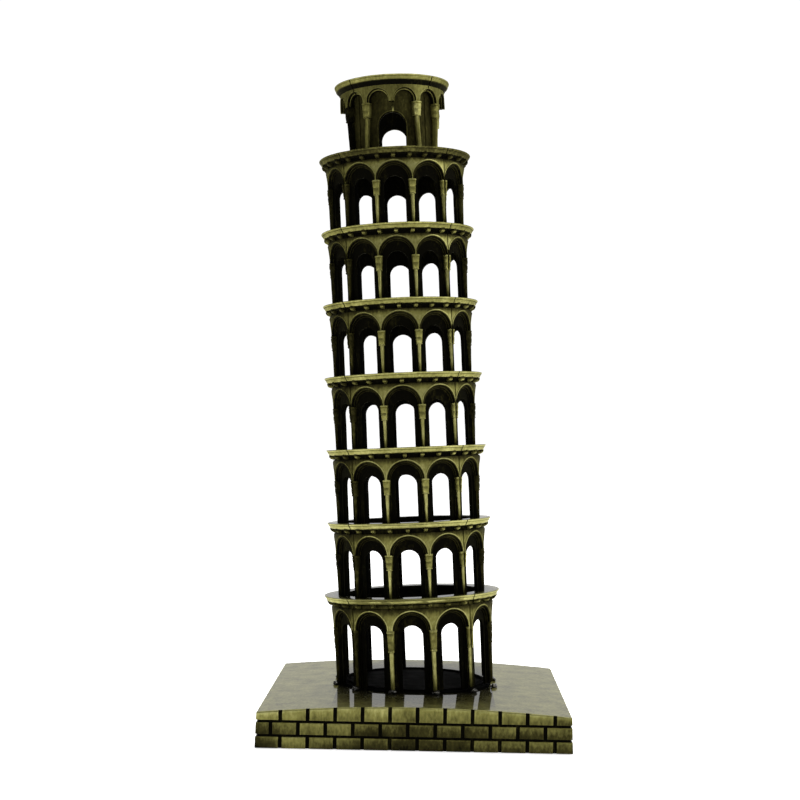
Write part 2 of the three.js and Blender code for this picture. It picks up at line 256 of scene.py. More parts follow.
def corbels(shells, level, quarter):
    """Small rounded brackets under the lip, 28 to a ring."""
    top = TOPS[level]
    _, radius, reach, _ = STOREYS[level]
    edge, spacing = radius + reach - 0.55, 90 / 7
    outline = [(radius - 0.3, -1.3), (edge, -1.2), (edge - 0.03, -1.55), (edge - 0.16, -1.82),
               (edge - 0.4, -2.02), (radius + 0.12, -2.2), (radius - 0.3, -2.25)]
    middle = (radius, -1.5)
    for i in range(-3, 4):
        worn = 0.85 * LEDGE_WEAR[level] * side_shading(i * spacing + 90 * quarter, 0.45)
        sections = []
        for x, size in ((-0.46, 0.7), (-0.38, 0.94), (-0.22, 1.0), (0.22, 1.0), (0.38, 0.94), (0.46, 0.7)):
            section = []
            for r, h in outline:
                r, h = blend(middle[0], r, size), blend(middle[1], h, size)
                # Painted shade: the upper part of each corbel, under the lip, is darker than its lit foot.
                section.append((across(i * spacing, x, r, top + h), worn if h < -1.6 else 0.35 * worn))
            sections.append(section)
        shells.loft(sections)


# Rings of a bay's opening, from the arris moulding inwards: distance from the arch's centre,
# depth behind the wall's face round the arch, depth down the jamb, and wear.
# The reveals' zero values make them black: patina in the recesses, deepened to painted shade.
BAY_RINGS = [
    (4.46, 0.00, 0.55, 0.52),
    (4.42, -0.11, 0.55, 0.9),
    (4.22, -0.11, 0.55, 0.9),
    (4.16, 0.02, 0.55, 0.4),
    (4.02, 0.08, 0.55, 0.1),
    (3.97, 0.50, 0.60, 0.0),
    (3.66, 0.52, 0.62, 0.34),
    (3.60, 0.93, 0.93, 0.0),
    (3.32, 0.95, 0.95, 0.26),
    (3.26, 1.20, 1.20, 0.0),
]
PAINTED_SHADOW_TONE = 0.18                    # painted shadow: the wall's tone just under the frieze, in the ledge's shadow
WALL_WEAR_AND_LIGHT = (0.71, 0.88)              # further down, on the ground storey and on the top one: worn brass, painted lighter up the tower as light comes from overhead
SHADOW_FADE = (1.9, 1.1)                # heights over which the painted shadow fades into the wall's tone on these two
FRIEZE_SHADE_TONE = [0.34, 0.04, 0.0, 0.0, 0.0, 0.0, 0.0]        # painted shade of the sunk band under the ledge, from the ground up: lit on the ground storey, in the ledge's shadow above
JAMB_DEPTH, JAMB_WEAR = 0.55, 0.08
FOOT_OVERLAP = 0.3                    # how far walls run down into the ledge or plate below
FRIEZE, FRIEZE_DEPTH = 2.3, 0.35      # the sunk band under the ledge: its foot, and how far it is set back
STEP = 0.08                           # height over which the frieze steps out to the wall's face
ARCH_STEPS = 28
JAMB_STEPS = 7


def bay_directions(half, rises):
    """Angles over the arch from left to right, with those that meet the panel's edge at these rises."""
    corners = [math.atan2(rise, half) for rise in rises]
    corners += [math.pi - corner for corner in corners]
    angles = [math.pi * i / ARCH_STEPS for i in range(ARCH_STEPS + 1)]
    angles = [a for a in angles if min(abs(a - corner) for corner in corners) > 0.03]
    return sorted(angles + corners, reverse=True)


def panel_edge(angle, half, rise):
    """Where a ray from the arch's centre leaves the panel."""
    across_limit = half / max(abs(math.cos(angle)), 1e-6)
    up_limit = rise / max(math.sin(angle), 1e-6)
    reach = min(across_limit, up_limit)
    return reach * math.cos(angle), reach * math.sin(angle)


def wall_wear(level, below):
    """Tone of the wall's face this far below the sunk frieze: painted shadow under the frieze, fading down
    into the wall's worn brass.
    """
    share = level / (len(STOREYS) - 1)
    return blend(PAINTED_SHADOW_TONE, blend(*WALL_WEAR_AND_LIGHT, share), min(1, max(0, below) / blend(*SHADOW_FADE, share)))


def bay(shells, level, centre, quarter):
    """One bay of an arcade: spandrels, moulded arch, stepped jambs, tympanum and hole."""
    height, radius, _, _ = STOREYS[level]
    top, floor = TOPS[level], TOPS[level] - height - FOOT_OVERLAP
    springing = top - SPRINGING
    hole_springing = top - HOLE_CROWN - HOLE_HALF
    half = radius * math.sin(math.radians(HALF_BAY))
    rise = SPRINGING - WALL_TOP
    frieze = SPRINGING - FRIEZE
    weld = ("bay", level)

    samples = []
    for angle in bay_directions(half, (frieze - STEP, frieze, rise)):
        edge_x, edge_h = panel_edge(angle, half, rise)
        rings = [(d * math.cos(angle), springing + d * math.sin(angle), depth, wear)
                 for d, depth, _, wear in BAY_RINGS]
        foot_x, foot_h, foot_depth, _ = rings[0]
        rings[0] = (foot_x, foot_h, foot_depth, wall_wear(level, springing + frieze - foot_h))
        reach = math.hypot(edge_x, edge_h)
        # The sunk frieze, and the wall's face just under it, carry painted shadow that fades down the
        # wall.
        steps = [(frieze / max(math.sin(angle), 1e-6), FRIEZE_DEPTH, FRIEZE_SHADE_TONE[level]),
                 ((frieze - STEP) / max(math.sin(angle), 1e-6), 0.0, PAINTED_SHADOW_TONE)]
        if steps[1][0] > reach - 0.01:
            distances = [blend(reach, BAY_RINGS[0][0], share) for share in (0.3, 0.6)]
            steps = [(d, 0.0, wall_wear(level, frieze - d * math.sin(angle))) for d in distances]
        elif steps[0][0] > reach - 0.01:
            steps[0] = (blend(reach, steps[1][0], 0.5), FRIEZE_DEPTH, FRIEZE_SHADE_TONE[level])
        rings = [(d * math.cos(angle), springing + d * math.sin(angle), depth, wear)
                 for d, depth, wear in steps] + rings
        hole = (HOLE_HALF * math.cos(angle), hole_springing + HOLE_HALF * math.sin(angle))
        sunk = edge_h > frieze - 0.01
        samples.append((edge_x, springing + edge_h, FRIEZE_DEPTH if sunk else 0.0, rings, hole))
    left, right = ([], [])
    for side, jamb in ((-1, left), (1, right)):
        for step in range(JAMB_STEPS + 1):
            t = step / JAMB_STEPS
            h = blend(springing - 0.02, floor, t)
            rings = [(side * d, h, depth, min(wear, JAMB_WEAR)) for d, _, depth, wear in BAY_RINGS]
            outer = [side * blend(half, BAY_RINGS[0][0], share) for share in (0.3, 0.6)]
            rings = [(x, h, JAMB_DEPTH, JAMB_WEAR) for x in outer] + rings
            hole = (side * HOLE_HALF, blend(hole_springing - 0.02, floor, t))
            jamb.append((side * half, h, JAMB_DEPTH, rings, hole))
    samples = left[::-1] + samples + right

    rows = []
    for edge_x, edge_h, edge_depth, rings, hole in samples:
        edge_angle = centre + math.degrees(math.asin(max(-1, min(1, edge_x / radius))))
        edge = around(edge_angle, radius - edge_depth, edge_h)
        faded = wall_wear(level, springing + frieze - edge_h)
        kept = side_shading(edge_angle + 90 * quarter, 0.5)
        row = [shells.point(edge, kept * (FRIEZE_SHADE_TONE[level] if edge_depth else faded), weld)]
        for k, (x, h, depth, wear) in enumerate(rings):
            limit = half - 0.015 * (k + 1)
            x = max(-limit, min(limit, x))
            kept = side_shading(centre + math.degrees(math.asin(x / radius)) + 90 * quarter, 0.5)
            row.append(shells.point(across(centre, x, radius - depth, h), wear * kept, weld))
        for depth in (ARCADE_DEPTH, WALL_DEPTH):
            row.append(shells.point(across(centre, hole[0], radius - depth, hole[1]), 0.0, weld))
        row.append(shells.point(around(edge_angle, radius - WALL_DEPTH, edge_h), 0.0, weld))
        rows.append((row, edge_x, edge_h))

    for (a, ax, ah), (b, bx, bh) in zip(rows, rows[1:]):
        for i in range(len(a) - 1):
            shells.face(a[i], a[i + 1], b[i + 1], b[i])
        along_top = min(ah, bh) > springing + rise - 0.01
        outward = (ax + bx) * centre > 0
        if along_top or outward:
            shells.face(a[-1], a[0], b[0], b[-1])
    for row, _, _ in (rows[0], rows[-1]):
        shells.face(*row)


def half_round(width, front, back, square, steps):
    """Outline of a column, from its right edge round the front to its left: x and depth.

    square is 1 for a round column and less for a squarer one.
    """
    outline = []
    for i in range(steps + 1):
        angle = math.pi * i / steps
        cosine, sine = math.cos(angle), math.sin(angle)
        x = width * math.copysign(abs(cosine) ** square, cosine)
        outline.append((x, back - (back - front) * abs(sine) ** square))
    return outline


def column_section(level_radius, centre, height, width, front, back, square, steps, relief, wear):
    """One level of a column. At a seam only the half on the quarter's side is kept."""
    section = []
    outline = half_round(width, front, back, square, steps)
    if abs(centre) == SEAM_ANGLE:
        outline = [(x, d) for x, d in outline if x * centre <= 1e-6]
        seam_edge = (0.0, back)
        outline = outline + [seam_edge] if centre < 0 else [seam_edge] + outline
    for x, depth in outline:
        depth -= relief * abs(math.sin(3 * math.pi * (x / width + 1) / 2)) if depth < back - 0.1 else 0
        worn = wear if depth < back - 0.25 else 0.15
        section.append((across(centre, x, level_radius - depth, height), worn))
    return section


# Levels of a capital, as a fraction of its height from its foot: half width, front, leaf relief.
CAPITAL_LEVELS = [
    (0.00, 0.60, 0.02, 0.00), (0.03, 0.73, -0.08, 0.00), (0.08, 0.73, -0.08, 0.00),
    (0.11, 0.66, 0.02, 0.00), (0.14, 0.69, -0.02, 0.02), (0.30, 0.73, -0.05, 0.08),
    (0.46, 0.77, -0.08, 0.05), (0.50, 0.75, -0.03, 0.01), (0.54, 0.78, -0.06, 0.03),
    (0.70, 0.82, -0.11, 0.09), (0.84, 0.86, -0.15, 0.04), (0.88, 0.81, -0.06, 0.00),
    (0.90, 0.90, -0.20, 0.00), (0.98, 0.91, -0.20, 0.00), (1.00, 0.87, -0.14, 0.00),
]


COLUMN_BACK = 0.85                    # depth of a column's back, sunk in the jambs


def columns(shells, level, quarter):
    """The shafts and leafy capitals of a quarter: two whole ones, and a half at each seam."""
    height, radius, _, capital = STOREYS[level]
    top, floor = TOPS[level], TOPS[level] - height
    capital_foot = top - SPRINGING - capital
    shaft_foot, shaft_head = (0.46, 0.56) if level == 0 else (0.27, 0.49)
    for centre in COLUMN_ANGLES:
        kept = side_shading(centre + 90 * quarter)
        sections = []
        for i in range(9):
            t = i / 8
            width, front = blend(shaft_foot, shaft_head, t ** 0.8), blend(0.12, -0.02, t)
            h = blend(floor - 0.1, capital_foot + 0.1, t)
            worn = kept * blend(0.5, 0.9, min(1, t * 2.5))
            sections.append(
                column_section(radius, centre, h, width, front, COLUMN_BACK, 0.9, 10, 0.0, worn))
        shells.loft(sections)
        sections = []
        for share, width, front, relief in CAPITAL_LEVELS:
            h = capital_foot + share * capital
            worn = kept * (0.68 if relief else 0.88)
            sections.append(
                column_section(radius, centre, h, width, front, COLUMN_BACK, 0.45, 18, relief, worn))
        shells.loft(sections)


# Rings of a small arch's opening: distance from its centre, depth behind its face, and wear.
BLIND_RINGS = [
    (2.84, 0.00, 0.6), (2.80, -0.07, 0.75), (2.66, -0.07, 0.72), (2.61, 0.05, 0.3), (2.58, 0.55, 0.0),
    (2.34, 0.57, 0.7), (2.26, 0.62, 0.4), (2.22, 1.10, 0.0), (2.18, 1.75, 0.0),
]
BLIND_CENTRE, BLIND_FOOT = 5.5, 5.85  # below the rim's top: arches' centres, and their stilted feet
BLIND_TOP, BLIND_DEPTH = 1.6, 1.75    # the arcade runs up into the rim, and back into the drum
BLIND_WEAR, DRUM_WEAR = 0.6, 0.28


def blind_arch(shells, centre):
    """One small arch of the belfry, open below, backed by the drum."""
    half = BELFRY_RADIUS * math.sin(math.radians(HALF_BAY))
    springing = RIM_TOP - BLIND_CENTRE
    rise = BLIND_CENTRE - BLIND_TOP
    samples = [(angle, 0.0) for angle in bay_directions(half, (rise,))]
    stilt = BLIND_FOOT - BLIND_CENTRE
    rows = []
    for angle, drop in [(math.pi, stilt)] + samples + [(0.0, stilt)]:
        edge_x, edge_h = panel_edge(angle, half, rise)
        if abs(centre) == SEAM_ANGLE and edge_x * centre > 1e-6:
            continue
        edge_angle = centre + math.degrees(math.asin(edge_x / BELFRY_RADIUS))
        edge = springing + edge_h - drop
        row = [shells.point(around(edge_angle, BELFRY_RADIUS, edge), BLIND_WEAR, "blind")]
        for d, depth, wear in BLIND_RINGS:
            x, h = d * math.cos(angle), springing + d * math.sin(angle) - drop
            row.append(shells.point(across(centre, x, BELFRY_RADIUS - depth, h), wear, "blind"))
        row.append(shells.point(around(edge_angle, BELFRY_RADIUS - BLIND_DEPTH, edge), 0.0, "blind"))
        rows.append((row, edge_h))
    for (a, ah), (b, bh) in zip(rows, rows[1:]):
        for i in range(len(a) - 1):
            shells.face(a[i], a[i + 1], b[i + 1], b[i])
        if min(ah, bh) > rise - 0.01:
            shells.face(a[-1], a[0], b[0], b[-1])
    shells.face(*rows[0][0])
    shells.face(*rows[-1][0])


DOOR_HALF, DOOR_CROWN = 2.95, 8.95    # half the doorway's width, and its height
# The doorway's moulding: how far beyond the opening, depth behind the drum's face, and wear.
DOOR_RINGS = [
    (0.46, 0.0, 0.25), (0.42, -0.12, 0.42), (0.24, -0.12, 0.42), (0.17, 0.0, 0.1), (0.0, 0.05, 0.0),
]


def drum(shells):
    """The belfry's wall, with its round-headed doorway and the doorway's fine moulding."""
    floor, top = TOPS[-1] - FOOT_OVERLAP, RIM_TOP - 0.8
    springing = TOPS[-1] + DOOR_CROWN - DOOR_HALF
    half, rise = DRUM_RADIUS * math.sin(math.radians(SEAM_ANGLE - 0.1)), top - springing
    rings = [(DOOR_HALF + beyond, depth, wear) for beyond, depth, wear in DOOR_RINGS]
    samples = []
    for angle in bay_directions(half, (rise,)):
        edge_x, edge_h = panel_edge(angle, half, rise)
        samples.append((edge_x, springing + edge_h, math.cos(angle), springing, math.sin(angle)))
    levels = [blend(springing, floor, step / 5) for step in range(1, 6)]
    left, right = ([(side * half, h, side, h, 0.0) for h in levels] for side in (-1, 1))
    samples = left[::-1] + samples + right
    rows = []
    for edge_x, edge_h, cosine, centre_h, sine in samples:
        ring_x, ring_h = rings[0][0] * cosine, centre_h + rings[0][0] * sine
        row = []
        for step in range(7):
            x, h = blend(edge_x, ring_x, step / 7), blend(edge_h, ring_h, step / 7)
            row.append((across(0, x, DRUM_RADIUS, h), DRUM_WEAR))
        for d, depth, wear in rings:
            row.append((across(0, d * cosine, DRUM_RADIUS - depth, centre_h + d * sine), wear))
        for step in range(8):
            x = blend(DOOR_HALF * cosine, edge_x * WELL_RADIUS / DRUM_RADIUS, step / 7)
            h = blend(centre_h + DOOR_HALF * sine, edge_h, step / 7)
            row.append((across(0, x, WELL_RADIUS, h), 0.0))
        rows.append(row)
    shells.loft(rows)


SPLAY = 1.09                          # the belfry's shafts stand this much further round at the foot
BELFRY_CAPITAL = 3.4


def belfry_columns(shells, quarter):
    """Two capitals on shafts to a quarter; the cut-off pendant above the doorway comes from the blind
    arches.
    """
    floor, springing = TOPS[-1], RIM_TOP - BLIND_FOOT
    foot = springing - BELFRY_CAPITAL
    for centre in (-30, 30):
        kept = side_shading(centre + 90 * quarter)
        sections = []
        for i in range(7):
            t = i / 6
            width, front = blend(0.40, 0.48, t), blend(0.3, 0.1, t)
            angle, h = centre * blend(SPLAY, 1.0, t), blend(floor - 0.1, foot + 0.1, t)
            sections.append(column_section(BELFRY_RADIUS, angle, h, width, front, BLIND_DEPTH,
                                           0.8, 10, 0.0, 0.8 * kept))
        shells.loft(sections)
        sections = []
        for share, width, front, relief in CAPITAL_LEVELS:
            h, wider = foot + share * BELFRY_CAPITAL, blend(0.12, 0.2, share)
            sections.append(column_section(BELFRY_RADIUS, centre, h, width + wider, front, BLIND_DEPTH,
                                           0.45, 18, 0.3 * relief, 0.85 * kept))
        shells.loft(sections)


def keystone(shells):
    """A small ridge over the doorway's moulding."""
    foot = TOPS[-1] + DOOR_CROWN + 0.2
    sections = []
    for rise, width, proud in ((0.0, 0.3, 0.3), (0.5, 0.22, 0.42), (1.1, 0.34, 0.3), (1.4, 0.1, 0.02)):
        corners = ((width, -0.2), (width * 0.8, proud), (-width * 0.8, proud), (-width, -0.2))
        sections.append([(across(1.5, x, DRUM_RADIUS + out, foot + rise), 0.8 if out > 0 else 0.1)
                         for x, out in corners])
    shells.loft(sections)


def rim(shells):
    """The belfry's rim, which flares out from the fascia to a bright band."""
    top = RIM_TOP
    sector(shells, [
        (WELL_RADIUS, top, 0.1), (RIM_RADIUS - 0.25, top, 0.6),
        (RIM_RADIUS - 0.06, top - 0.04, 0.95), (RIM_RADIUS, top - 0.18, 0.84),
        (RIM_RADIUS - 0.05, top - 0.34, 0.75), (RIM_RADIUS - 0.14, top - 0.4, 0.45),
        (RIM_RADIUS - 0.16, top - 0.52, 0.73), (RIM_RADIUS - 0.36, top - 1.05, 0.6),
        (RIM_RADIUS - 0.45, top - 1.15, 0.35), (RIM_RADIUS - 0.7, top - 1.3, 0.0),
        (BELFRY_RADIUS + 0.1, top - 2.1, 0.0), (BELFRY_RADIUS - 0.3, top - 2.35, 0.0),
        (WELL_RADIUS, top - 2.35, 0.0),
    ])


def quarter_shells(quarter):
    shells = Shells()
    for level in range(len(STOREYS)):
        ledge(shells, level)
        corbels(shells, level, quarter)
        for centre in BAY_ANGLES:
            bay(shells, level, centre, quarter)
        columns(shells, level, quarter)
    drum(shells)
    for centre in COLUMN_ANGLES:
        blind_arch(shells, centre)
    belfry_columns(shells, quarter)
    keystone(shells)
    rim(shells)
    return shells


def clear_of_seams(p):
    """Keeps a quarter's points half a joint's width from the two seams.

    The joints close up on the inside of the belfry, which has no solder behind them.
    """
    closed = p.z > TOPS[-1] - 2.5 and math.hypot(p.x, p.y) < WELL_RADIUS + 0.3
    clear = SEAM / 10 if closed else SEAM
    x, y = p.x, p.y
    for side in (1, -1):
        distance = (side * x + y) * math.sqrt(0.5)
        if distance > -clear:
            x -= side * (distance + clear) * math.sqrt(0.5)
            y -= (distance + clear) * math.sqrt(0.5)
    return Vector((x, y, p.z))


def on_the_base(p):
    """Ends the feet where the plate or the base's crowned top carries them."""
    over_plate = math.hypot(p.x - FOOT.x, p.y - FOOT.y) < PLATE_HIGH.x - FOOT.x + 0.15
    floor = PLATE_TOP if over_plate else base_top(p.x)
    return Vector((p.x, p.y, max(p.z, floor)))


def tower_quarter(index, material):
    turn = Matrix.Rotation(index * math.pi / 2, 4, "Z")

    def place(p):
        return on_the_base(LEAN @ (turn @ clear_of_seams(p)))

    side = QUARTERS[index]
    piece(f"cast_quarter_{side}", quarter_shells(index), material,
          [f"tower_quarter_{side}"], place=place)


# ---------------------------------------------------------------- base

BRICKS = 11.5                         # to a side
JOINT_DEPTH = 0.35
BEDS = [2.85, 5.8]                    # heights of the level joints' middles
COURSE_STARTS = [0.88, 0.53, 0.88]    # first upright joint of each course, in bricks from the left
# Across a joint, from its middle: distance beyond the joint's half width, share of the depth.
JOINT_PROFILE = [(-0.06, 1.0), (0.03, 0.12), (0.12, 0.0), (0.4, 0.0)]
UPRIGHT_HALF, BED_HALF = 0.39, 0.25   # half the joints' widths


def side_half(z):
    """Half the base's side at this height."""
    return BASE_FOOT - BASE_DRAFT * max(z, 0) / base_top(BASE_FOOT)


def joint_share(distance, half):
    """How deep the joint is, from 0 on the brick to 1, this far from the joint's middle."""
    beyond = abs(distance) - half
    (near, deep), (far, shallow), (face, level) = JOINT_PROFILE[:3]
    if beyond <= near:
        return deep
    if beyond <= far:
        return blend(deep, shallow, (beyond - near) / (far - near))
    return blend(shallow, level, min(1, (beyond - far) / (face - far)))


def upright_joints():
    """Middles of each course's upright joints, as seen from the front."""
    brick = 2 * (BASE_FOOT - BASE_DRAFT) / BRICKS
    left = BASE_DRAFT - BASE_FOOT
    return [[left + (start + i) * brick for i in range(11)] for start in COURSE_STARTS]


JOINTS = upright_joints()


def brick_depth(x, z):
    course = sum(z > bed for bed in BEDS)
    share = max(joint_share(z - bed, BED_HALF) for bed in BEDS)
    upright = max(joint_share(x - joint, UPRIGHT_HALF) for joint in JOINTS[course])
    return JOINT_DEPTH * max(share, upright)


def side_lines():
    """Where a side's grid has its upright lines: at each joint's edges, and mirrored."""
    half = BASE_FOOT - BASE_DRAFT
    lines = {-half, half, 0.0}
    for joint in JOINTS[0] + JOINTS[1]:
        for beyond, _ in JOINT_PROFILE:
            for side in (-1, 1):
                x = joint + side * (UPRIGHT_HALF + beyond)
                if abs(x) < half - 0.1:
                    lines |= {round(x, 3), round(-x, 3)}
    merged = []
    for x in sorted(lines):
        if not merged or x - merged[-1] > 0.02:
            merged.append(x)
    merged[-1] = half
    return merged


def side_levels():
    levels = [BASE_LOW.z, BASE_LOW.z + 0.12]
    for bed in BEDS:
        levels += [bed + side * (BED_HALF + beyond) for side in (-1, 1) for beyond, _ in JOINT_PROFILE]
    return sorted(levels)


TOP_ROUNDING = [(0.8, 0.0), (0.3, 0.0), (0.12, 0.03), (0.03, 0.1), (0.0, 0.22)]
TOP_WEAR, TOP_BORDER = 0.58, 0.6
COURSE_WEAR = [0.52, 0.58, 0.66]      # from the bottom course up
ARRIS_WEAR = 0.13                     # how much more a brick's edges are worn than its face


def brick_wear(x, z, inset):
    """Joints are dark, brick faces rubbed to a different degree each, and their edges brighter. Each face
    is also painted lighter towards its top and darker towards its foot, as light falls from above.
    """
    if inset == TOP_ROUNDING[-1][1]:
        return TOP_WEAR
    if inset and brick_depth(x, z) < 0.05 and z > BEDS[-1]:
        return 1.0
    if brick_depth(x, z) > 0.05:
        return 0.0
    course = sum(z > bed for bed in BEDS)
    number = sum(x > joint for joint in JOINTS[course])
    own = noise.cell(Vector((number * 3.1, course * 5.3, 0.5))) - 0.5
    to_joint = min(abs(x - joint) - UPRIGHT_HALF for joint in JOINTS[course])
    foot, head = ([BASE_LOW.z] + BEDS)[course], (BEDS + [base_top(x)])[course]
    edge = ARRIS_WEAR if head - z - BED_HALF < 0.2 else ARRIS_WEAR / 3 if to_joint < 0.2 else 0.0
    # Random unevenness, and painted light: each face lighter towards its top, darker towards its foot.
    uneven = 0.1 * noise.noise(Vector((x / 5, z / 1.5, 3.0))) + 0.3 * ((z - foot) / (head - foot) - 0.5)
    if course == 2:
        return COURSE_WEAR[course] + 0.06 * own + edge + uneven - 0.08 * x / BASE_FOOT
    # The lower courses are darker in the middle, and at the left corner.
    left_corner_dark = 0.3 * math.exp(-((x + BASE_FOOT) / 4.5) ** 2)
    darkened = 0.2 * math.exp(-(x / 14) ** 2) + 0.08 * x / BASE_FOOT + left_corner_dark
    return COURSE_WEAR[course] + 0.08 * own + edge + uneven - darkened


def base_outside():
    """The base's outside as one closed shell: four brick sides, the crowned top and the bottom."""
    shells = Shells()
    lines, levels = side_lines(), side_levels()
    half = BASE_FOOT - BASE_DRAFT
    top_rows, bottom = [], []
    for quarter in range(4):
        turn = Matrix.Rotation(quarter * math.pi / 2, 4, "Z")
        grid = []
        for x in lines:
            crown = base_top(x) if quarter % 2 == 0 else base_top(half)
            heights = [(z, 0.0) for z in levels] + [(crown - drop, inset) for drop, inset in TOP_ROUNDING]
            heights[0] = (heights[0][0], 0.06)
            column = []
            for z, inset in heights:
                depth = brick_depth(x, z) + inset * (1 - brick_depth(x, z) / JOINT_DEPTH)
                out = side_half(z) - depth
                end = abs(x) > half - 0.01
                p = turn @ Vector((math.copysign(out, x) if end else x, -out, z))
                column.append(shells.point(p, brick_wear(x, z, inset), "base"))
            out = half - TOP_BORDER
            p = turn @ Vector((max(-out, min(out, x)), -out, 0))
            column.append(shells.point((p.x, p.y, base_top(p.x)), TOP_WEAR, "base"))
            grid.append(column)
        for a, b in zip(grid, grid[1:]):
            for i in range(len(a) - 1):
                shells.face(a[i], b[i], b[i + 1], a[i + 1])
        top_rows.append([column[-1] for column in grid])
        bottom += [column[0] for column in grid[:-1]]
    shells.face(*bottom)
    front, right, back, left = (list(dict.fromkeys(row)) for row in top_rows)
    back = back[::-1]
    for i in range(1, len(front) - 2):
        shells.face(front[i], front[i + 1], back[i + 1], back[i])
    shells.face(*front[:2], *back[1::-1], *left[1:-1])
    shells.face(*front[-1:-3:-1], *back[-2:], *right[-2:0:-1])
    return shells


def carved(target, cutters):
    """Cuts each closed cutter mesh out of the target object's mesh."""
    for cutter in cutters:
        tool = bpy.data.objects.new("cutter", cutter)
        bpy.context.scene.collection.objects.link(tool)
        cut = target.modifiers.new("cut", "BOOLEAN")
        cut.operation, cut.solver, cut.object = "DIFFERENCE", "EXACT", tool
        depsgraph = bpy.context.evaluated_depsgraph_get()
        result = bpy.data.meshes.new_from_object(target.evaluated_get(depsgraph))
        target.modifiers.clear()
        target.data = result
        bpy.data.objects.remove(tool)


def square_cutter(half, z0, z1):
    work = bmesh.new()
    bmesh.ops.create_cube(work, size=1)
    bmesh.ops.scale(work, verts=work.verts, vec=Vector((2 * half, 2 * half, z1 - z0)) * MM)
    bmesh.ops.translate(work, verts=work.verts, vec=Vector((0, 0, (z0 + z1) / 2)) * MM)
    mesh = bpy.data.meshes.new("cutter")
    work.to_mesh(mesh)
    work.free()
    return mesh


def round_cutter(x, y, radius, z0, z1, steps=96):
    work = bmesh.new()
    bmesh.ops.create_cone(work, cap_ends=True, segments=steps, radius1=radius * MM, radius2=radius * MM,
                          depth=(z1 - z0) * MM)
    bmesh.ops.translate(work, verts=work.verts, vec=Vector((x, y, (z0 + z1) / 2)) * MM)
    mesh = bpy.data.meshes.new("cutter")
    work.to_mesh(mesh)
    work.free()
    return mesh


ROOF = 5.9                            # underside of the base's top
INSIDE_HALF, REBATE_HALF, REBATE_TOP = 29.2, 31.2, 1.4      # the hollow, and the felt's rebate
SEAT_RADIUS, SEAT_FLOOR = 17.3, 8.1   # the round seat that takes the foot plate
SCREW_CIRCLE, SCREW_HOLE = 11.0, 2.8


def screw_places():
    """The four screws' axes, front, right, back and left."""
    return [tuple((FOOT + around(90 * i, SCREW_CIRCLE, 0)).xy) for i in range(4)]


def base(material):
    made = piece("cast_base", base_outside(), material, ["base_shell"], uneven=0.0)
    cutters = [square_cutter(INSIDE_HALF, -1, ROOF), square_cutter(REBATE_HALF, -1, REBATE_TOP),
               round_cutter(FOOT.x, FOOT.y, SEAT_RADIUS, SEAT_FLOOR, BASE_TOP + 2)]
    cutters += [round_cutter(x, y, SCREW_HOLE, ROOF - 1, SEAT_FLOOR + 1, 48) for x, y in screw_places()]
    carved(made, cutters)


# ---------------------------------------------------------------- fastenings

EVEN_WEAR = 0.5                       # of the pieces whose materials don't use it


def turned(shells, outline, x, y, steps=64):
    """A round shell about (x, y) from (radius, height) points."""
    sections = []
    for i in range(steps):
        angle = 2 * math.pi * i / steps
        cosine, sine = math.cos(angle), math.sin(angle)
        sections.append([(Vector((x + r * cosine, y + r * sine, z)), EVEN_WEAR) for r, z in outline])
    shells.loft(sections, closed=True, weld=("turned", x, y))


def foot_plate(material):
    """The disc that the castings stand round, with its low ring and four threaded bosses."""
    shells = Shells()
    rim_radius, top, ring_top = PLATE_HIGH.x - FOOT.x, PLATE_TOP, PLATE_HIGH.z
    bottom, ring = top - 1.0, 15.9
    turned(shells, [
        (0, bottom), (rim_radius - 0.15, bottom), (rim_radius, bottom + 0.15), (rim_radius, top - 0.15),
        (rim_radius - 0.15, top), (ring + 0.1, top), (ring, top + 0.08), (ring - 0.08, ring_top),
        (ring - 0.62, ring_top), (ring - 0.7, top + 0.08), (ring - 0.8, top), (0, top),
    ], FOOT.x, FOOT.y, 144)
    boss, foot = 2.4, PLATE_LOW.z
    for x, y in screw_places():
        turned(shells, [
            (BORE, foot + 0.2), (BORE + 0.2, foot), (boss - 0.15, foot), (boss, foot + 0.15),
            (boss, bottom + 0.2), (BORE, bottom + 0.2),
        ], x, y, 48)
    piece("turned_foot_plate", shells, material, ["foot_plate"], uneven=0.004)


def washer(side, x, y, material):
    low, high = box_mm(f"foot_washer_{side}")
    outer, edge = (high.x - low.x) / 2, 0.1
    shells = Shells()
    turned(shells, [
        (BORE, low.z + edge), (BORE + edge, low.z), (outer - edge, low.z), (outer, low.z + edge),
        (outer, high.z - edge), (outer - edge, high.z), (BORE + edge, high.z), (BORE, high.z - edge),
    ], x, y)
    piece(f"flat_washer_{side}", shells, material, [f"foot_washer_{side}"], uneven=0.003)


def screw(side, x, y, material):
    """A pan-head screw, with its thread as closed rings and its driver slot cut in."""
    low, high = box_mm(f"foot_screw_{side}")
    head, shank, head_height, pitch = (high.x - low.x) / 2, 0.95, 1.5, 0.45
    slot_half, slot_depth = 0.3, 0.6
    root, under = shank - 0.16, low.z + head_height
    outline = [(0, low.z), (head * 0.6, low.z + 0.03), (head * 0.86, low.z + 0.22), (head, low.z + 0.6),
               (head, under - 0.08), (head - 0.08, under), (shank, under)]
    z = under + 0.1
    while z + pitch < high.z - 0.3:
        outline += [(root, z), (shank, z + pitch / 2 - 0.04), (shank, z + pitch / 2 + 0.04)]
        z += pitch
    outline += [(root, high.z - 0.25), (shank - 0.4, high.z - 0.15), (0, high.z - 0.15)]
    shells = Shells()
    turned(shells, outline, x, y, 40)
    made = piece(f"pan_screw_{side}", shells, material, [f"foot_screw_{side}"], uneven=0.0)
    slot = square_cutter(head + 1, low.z - 1, low.z + slot_depth)
    narrowed = Matrix.Diagonal((1, slot_half / (head + 1), 1, 1))
    slot.transform(Matrix.Translation((x * MM, y * MM, 0)) @ narrowed)
    carved(made, [slot])


